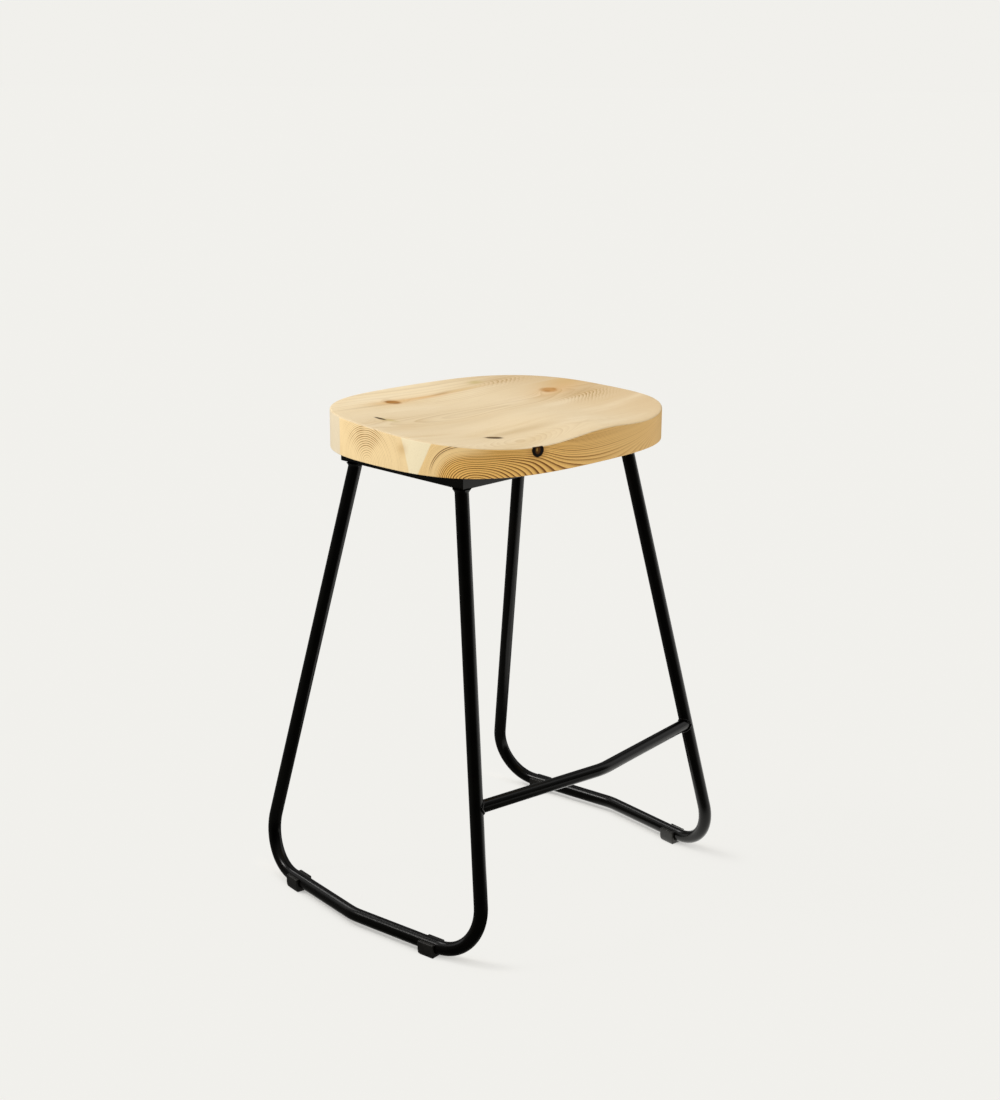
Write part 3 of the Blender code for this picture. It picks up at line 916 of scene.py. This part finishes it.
def footrest_path():
    ends = [leg_point(FOOTREST_Z, side, -1) for side in (-1, 1)]
    middle = (ends[0] + ends[1]) / 2 + Vector((0.0, -FOOTREST_BOW, 0.0))
    return rounded_path([ends[0], middle, ends[1]], (MIDDLE_BEND,), (FOOTREST_STEPS,))


def to_leg(point, along, x_side):
    """The point where the line that leaves this one meets the surface of a front leg."""
    base = leg_point(FOOTREST_Z, x_side, -1)
    leg = (leg_point(FOOTREST_Z + TUBE_RADIUS, x_side, -1) - base).normalized()
    start = point - base
    start -= leg * start.dot(leg)
    run = along - leg * along.dot(leg)
    a, b, c = run.dot(run), 2 * start.dot(run), start.dot(start) - TUBE_RADIUS**2
    return point + along * ((-b - math.sqrt(max(b * b - 4 * a * c, 0.0))) / (2 * a))


def saddle(radius, x_side):
    """The closed line where the footrest's bar meets its leg."""
    path = footrest_path()
    if x_side > 0:
        path.reverse()
    along = (path[0] - path[1]).normalized()
    side = Vector((0.0, 0.0, 1.0))
    side = (side - along * side.dot(along)).normalized()
    across = along.cross(side)
    start = path[0] - along * (6 * TUBE_RADIUS)
    return [to_leg(start + side * u + across * v, along, x_side) for u, v in circle(radius, TUBE_SIDES)]


def add_footrest(coat):
    """The bar, each end coped to its leg, with a weld bead round each joint."""
    build = bmesh.new()
    path = footrest_path()
    inner = path[1:-1]
    walls = []
    for radius in (FOOTREST_RADIUS, FOOTREST_RADIUS - TUBE_WALL):
        left = saddle(radius, -1)
        right = saddle(radius, 1)
        normals = ((inner[1] - inner[0]).normalized(), (inner[-1] - inner[-2]).normalized())
        middle = tube_rings(inner, circle(radius, TUBE_SIDES), Vector((0.0, 0.0, 1.0)), normals)
        rings = [match(left, middle[0])] + middle + [match(right, middle[-1])]
        verts = [[build.verts.new(point) for point in ring] for ring in rings]
        for first, second in zip(verts, verts[1:]):
            bridge(build, first, second)
        walls.append(verts)
    for end in (0, -1):
        bridge(build, walls[0][end], walls[1][end])
    add_piece("footrest_tube", mesh_from("footrest_tube", build), coat, ["footrest_bar"])
    for x_side, name in ((-1, "left"), (1, "right")):
        line = saddle(FOOTREST_RADIUS + BEAD_RADIUS * 0.35, x_side)
        mesh = bead_mesh("footrest_weld_" + name, line, 0.7 * x_side)
        add_piece("footrest_weld_" + name, mesh, coat)


def match(ring, other):
    """The ring turned, and reversed if need be, so that its points pair up with the other ring's."""
    count = len(ring)
    best = None
    for direction in (1, -1):
        for shift in range(count):
            turned_ring = [ring[(shift + direction * i) % count] for i in range(count)]
            gap = sum((a - b).length_squared for a, b in zip(turned_ring[::8], other[::8]))
            if best is None or gap < best[0]:
                best = (gap, turned_ring)
    return best[1]


def bead_mesh(name, line, phase):
    """A rippled weld bead that follows a closed line."""
    build = bmesh.new()
    centre = sum(line, Vector()) / len(line)
    rings = []
    count = len(line)
    for i, point in enumerate(line):
        along = (line[(i + 1) % count] - line[i - 1]).normalized()
        outward = (point - centre).normalized()
        outward = (outward - along * outward.dot(along)).normalized()
        up = along.cross(outward)
        turn = 2 * math.pi * i / count
        size = BEAD_RADIUS * (1 + 0.09 * math.sin(13 * turn + phase) + 0.12 * math.sin(2 * turn + 2 * phase))
        ring = []
        for u, v in circle(1.0, BEAD_SIDES):
            ring.append(build.verts.new(point + outward * (u * size) + up * (v * size)))
        rings.append(ring)
    for i, ring in enumerate(rings):
        bridge(build, ring, rings[(i + 1) % count])
    return mesh_from(name, build)


def leg_ring(build, z, x_side, y_side, reaches):
    """Points round a leg's axis at one height, at the given distances from it."""
    centre = leg_point(z, x_side, y_side)
    ring = []
    for reach, (u, v) in zip(reaches, circle(1.0, TUBE_SIDES)):
        ring.append(build.verts.new((centre.x + reach * u, centre.y + reach * v, z)))
    return ring


def leg_weld_mesh(name, x_side, y_side, phase):
    """The fillet of weld round a leg's top, rippled, flaring out under the rail."""
    build = bmesh.new()
    top = FRAME_BOTTOM - WELD_GAP
    rings = []
    for i in range(WELD_STEPS + 1):
        drop = i / WELD_STEPS
        flare = WELD_REACH * (1 - drop) ** 1.8
        reaches = []
        for j in range(TUBE_SIDES):
            turn = 2 * math.pi * j / TUBE_SIDES
            ripple = 1 + 0.10 * math.sin(11 * turn + phase + 2.0 * drop) + 0.10 * math.sin(3 * turn + phase)
            reaches.append(TUBE_RADIUS - WELD_OVERLAP + flare * ripple)
        rings.append(leg_ring(build, top - WELD_HEIGHT * drop, x_side, y_side, reaches))
    inner = [TUBE_RADIUS - WELD_INNER_OVERLAP] * TUBE_SIDES
    for z in (top - WELD_HEIGHT, top):
        rings.append(leg_ring(build, z, x_side, y_side, inner))
    for first, second in zip(rings, rings[1:]):
        bridge(build, first, second)
    bridge(build, rings[-1], rings[0])
    return mesh_from(name, build)


def add_leg_welds(coat):
    for y_side, row in ((-1, "front"), (1, "rear")):
        for x_side, side in ((-1, "left"), (1, "right")):
            name = f"leg_weld_{row}_{side}"
            phase = 1.7 * y_side + 0.6 * x_side
            add_piece(name, leg_weld_mesh(name, x_side, y_side, phase), coat)


def rail_mesh(name, half_length):
    reach = half_length - RAIL_SIZE / 2 - MITRE_GAP
    path = [Vector((-reach, 0.0, 0.0)), Vector((reach, 0.0, 0.0))]
    sections = (
        rounded_square(RAIL_SIZE, RAIL_CORNER),
        rounded_square(RAIL_SIZE - 2 * RAIL_WALL, RAIL_CORNER / 2),
    )
    normals = (Vector((1.0, -1.0, 0.0)).normalized(), Vector((1.0, 1.0, 0.0)).normalized())
    return tube_mesh(name, path, sections, Vector((0.0, 1.0, 0.0)), normals)


def add_rails(coat):
    z = (FRAME_TOP + FRAME_BOTTOM) / 2
    centre_x = FRAME_HALF_X - RAIL_SIZE / 2
    front_y = FRAME_FRONT_Y + RAIL_SIZE / 2
    rear_y = FRAME_REAR_Y - RAIL_SIZE / 2
    middle_y = (front_y + rear_y) / 2
    half_y = (FRAME_REAR_Y - FRAME_FRONT_Y) / 2
    for name, half, place, degrees in (
        ("front", FRAME_HALF_X, (0.0, front_y, z), 0),
        ("rear", FRAME_HALF_X, (0.0, rear_y, z), 180),
        ("left", half_y, (-centre_x, middle_y, z), -90),
        ("right", half_y, (centre_x, middle_y, z), 90),
    ):
        put = Matrix.Translation(place) @ Matrix.Rotation(math.radians(degrees), 4, "Z")
        mesh = rail_mesh("square_rail_" + name, half)
        add_piece("square_rail_" + name, mesh, coat, ["rail_" + name], put)


# --- feet ---


def foot_section(shrink=0.0):
    """A foot's cross-section, sideways and over the tube's axis: a clip round the tube over a tapered pad."""
    inner = TUBE_RADIUS + FOOT_CLEARANCE + shrink
    outer = FOOT_HALF_WIDTH - shrink
    base = FOOT_BASE_HALF - shrink
    top = FOOT_WALL_TOP - shrink
    floor = -RUNNER_Z + shrink
    right = []
    for i in range(FOOT_TOP_STEPS + 1):
        turn = math.pi / 2 * i / FOOT_TOP_STEPS
        across = outer - FOOT_TOP_CHAMFER * (1 - math.sin(turn))
        right.append((across, top - FOOT_TOP_CHAMFER * (1 - math.cos(turn))))
    for i in range(FOOT_SIDE_STEPS + 1):
        turn = math.pi / 2 * i / FOOT_SIDE_STEPS
        across = base + (outer - base) * math.cos(turn)
        right.append((across, FOOT_TAPER_START + (floor - FOOT_TAPER_START) * math.sin(turn)))
    left = [(-across, above) for across, above in reversed(right)]
    grip = math.asin(top / inner)
    seat = []
    for i in range(FOOT_SEAT_STEPS + 1):
        angle = math.pi - grip + i * (math.pi + 2 * grip) / FOOT_SEAT_STEPS
        seat.append((inner * math.cos(angle), inner * math.sin(angle)))
    return right + left + seat


def foot_mesh(name):
    half = FOOT_LENGTH / 2
    ends = [(-half + inset, drop) for inset, drop in rounding(FOOT_EDGE_ROUND, 4)]
    ends.append((FOOT_CHAMFER - half, 0.0))
    stations = ends + [(-y, shrink) for y, shrink in reversed(ends)]
    build = bmesh.new()
    rings = []
    for y, shrink in stations:
        lift = max(0.0, FOOT_CHAMFER - (half - abs(y)))
        ring = [(x, y, max(z + RUNNER_Z, lift)) for x, z in foot_section(shrink)]
        rings.append([build.verts.new(point) for point in ring])
    for first, second in zip(rings, rings[1:]):
        bridge(build, first, second)
    build.faces.new(rings[0])
    build.faces.new(rings[-1])
    return mesh_from(name, build)


def add_feet(plastic):
    heading = math.atan2(RUNNER_BOW, RUNNER_Y)
    for y_side, row in ((-1, "front"), (1, "rear")):
        for x_side, side in ((-1, "left"), (1, "right")):
            x = x_side * (RUNNER_X + FOOT_FROM_CORNER * math.sin(heading))
            y = y_side * (RUNNER_Y - FOOT_FROM_CORNER * math.cos(heading))
            put = Matrix.Translation((x, y, 0.0)) @ Matrix.Rotation(x_side * y_side * heading, 4, "Z")
            name = f"clip_foot_{row}_{side}"
            add_piece(name, foot_mesh(name), plastic, [f"foot_{row}_{side}"], put)


def repaint(nodes, material):
    for node in nodes:
        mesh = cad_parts[node].data
        mesh.materials.clear()
        mesh.materials.append(material)


# --- studio ---


def heading_share(x, y, degrees, low, high):
    """1 where the direction from the origin to x, y lies near the given heading, 0 away from it."""
    turn = math.radians(degrees)
    cosine = (x * math.cos(turn) + y * math.sin(turn)) / (hypot(x, y) + 0.001)
    return cosine.ramp(math.cos(math.radians(low)), math.cos(math.radians(high)))


def shadow_band(x, y):
    """1 along both runners, where the floor takes shadows, 0 away from them."""
    runner_x = (y.math("ABSOLUTE") * (-RUNNER_BOW / RUNNER_Y)) + (RUNNER_X + RUNNER_BOW)
    lean = y.ramp(*LEAN_Y)
    near = x * 0.0
    for side in (-1.0, 1.0):
        off = x - runner_x * side - lean * LEAN_SHIFT - BAND_SHIFT
        near = near + bell(off / (lean * LEAN_WIDENING + BAND_HALF_WIDTH))
    return near * y.math("ABSOLUTE").ramp(*BAND_END_Y) * (1.0 - lean * 0.60)


def add_floor():
    """A back-lit floor that takes shadows along the runners only. Glossy rays see its front right lit."""
    build = bmesh.new()
    bmesh.ops.create_circle(build, cap_ends=True, segments=64, radius=FLOOR_RADIUS)
    mesh = mesh_from("floor", build)
    obj = bpy.data.objects.new("floor", mesh)
    bpy.context.scene.collection.objects.link(obj)
    material, tree, shader = new_material("floor")
    x, y, _ = position(tree)
    albedo = shadow_band(x, y) * SHADOW_ALBEDO + PLAIN_ALBEDO
    glossy = Field(tree, tree.nodes.new("ShaderNodeLightPath").outputs["Is Glossy Ray"])
    seen_gloss = heading_share(x, y, -33.0, 46.0, 20.0) * 1.7 + 0.15
    seen_gloss = seen_gloss * (1.0 - heading_share(x, y, 225.0, 60.0, 20.0) * 0.8)
    lit = 1.0 - albedo * FLOOR_LIGHT
    strength = lit * (1.0 - glossy) + seen_gloss * glossy
    grey = mix((0.0, 0.0, 0.0), (1.0, 0.99, 0.96), albedo)
    tree.links.new(grey.socket, shader.inputs["Base Color"])
    shader.inputs["Roughness"].default_value = 1.0
    shader.inputs["Specular IOR Level"].default_value = 0.0
    shader.inputs["Emission Color"].default_value = (*BACKDROP, 1.0)
    tree.links.new(strength.socket, shader.inputs["Emission Strength"])
    mesh.materials.append(material)


def toward(place, direction, low, high):
    """0 to 1, rising as the direction seen comes close to the given one."""
    x, y, z = place
    return (x * direction[0] + y * direction[1] + z * direction[2]).ramp(low, high)


def add_world():
    """A soft white dome, dimmer to the front left.

    The camera sees a flat backdrop instead, and glossy rays see a dark room with a softbox and two strips.
    """
    world = bpy.data.worlds.new("studio")
    bpy.context.scene.world = world
    world.use_nodes = True
    tree = world.node_tree
    background = tree.nodes["Background"]
    place = split(tree, tree.nodes.new("ShaderNodeTexCoord").outputs["Generated"])
    x, y, z = place
    path = tree.nodes.new("ShaderNodeLightPath")
    glossy = Field(tree, path.outputs["Is Glossy Ray"])
    camera_ray = Field(tree, path.outputs["Is Camera Ray"])

    front_left = toward(place, (-0.71, -0.70, 0.0), 0.35, 0.95)
    left = toward(place, (-0.72, 0.60, 0.35), 0.3, 0.95)
    right = toward(place, (0.80, -0.50, 0.20), 0.35, 0.95)
    level = z.ramp(-0.1, 0.9) * 0.25 + left * 0.45 + right * 0.25 + 0.58
    level = level * (1.0 - front_left * 0.60)

    softbox = toward(place, (0.15, 0.74, 0.66), 0.988, 0.997)
    right_strip = heading_share(x, y, -20.0, 22.0, 8.0)
    rear_strip = heading_share(x, y, 105.0, 16.0, 8.0)
    seen_gloss = softbox * 7.0 + z.ramp(0.2, 0.9) * 0.3 + right_strip * 1.0 + 0.12
    seen_gloss = seen_gloss + rear_strip * 0.9
    seen_gloss = seen_gloss * (1.0 - front_left * 0.9)

    level = level * (1.0 - glossy) + seen_gloss * glossy
    level = level * (1.0 - camera_ray) + camera_ray
    tint = mix(DOME_TINT, BACKDROP, camera_ray)
    tree.links.new(tint.socket, background.inputs["Color"])
    tree.links.new(level.socket, background.inputs["Strength"])


def add_key_light():
    """A wide soft key from high on the rear left."""
    light = bpy.data.lights.new("key", "SUN")
    light.energy = KEY_STRENGTH
    light.angle = math.radians(KEY_DEGREES)
    light.color = KEY_COLOUR
    obj = bpy.data.objects.new("key", light)
    bpy.context.scene.collection.objects.link(obj)
    obj.rotation_euler = KEY_PLACE.to_track_quat("Z", "Y").to_euler()


def add_camera():
    back = (CAMERA_PLACE - CAMERA_TARGET).normalized()
    right = Vector((0.0, 0.0, 1.0)).cross(back).normalized()
    up = back.cross(right)
    roll = math.radians(CAMERA_ROLL)
    cosine, sine = math.cos(roll), math.sin(roll)
    right, up = right * cosine + up * sine, up * cosine - right * sine
    camera = bpy.data.cameras.new("camera")
    camera.lens = CAMERA_LENS
    camera.sensor_width = 36.0
    camera.clip_end = 100.0
    obj = bpy.data.objects.new("camera", camera)
    bpy.context.scene.collection.objects.link(obj)
    turn = Matrix((right, up, back)).transposed().to_4x4()
    obj.matrix_world = Matrix.Translation(CAMERA_PLACE) @ turn
    bpy.context.scene.camera = obj


def main():
    add_boards()
    coat = black_coat()
    add_side_frames(coat)
    add_footrest(coat)
    add_rails(coat)
    add_leg_welds(coat)
    add_feet(black_plastic())
    corners = [f"{row}_{side}" for row in ("front", "rear") for side in ("left", "right")]
    repaint([f"seat_tab_{c}" for c in corners], coat)
    repaint([f"seat_screw_{c}" for c in corners], zinc())
    add_floor()
    add_world()
    add_key_light()
    add_camera()
    bpy.context.scene.view_settings.view_transform = "Standard"


main()
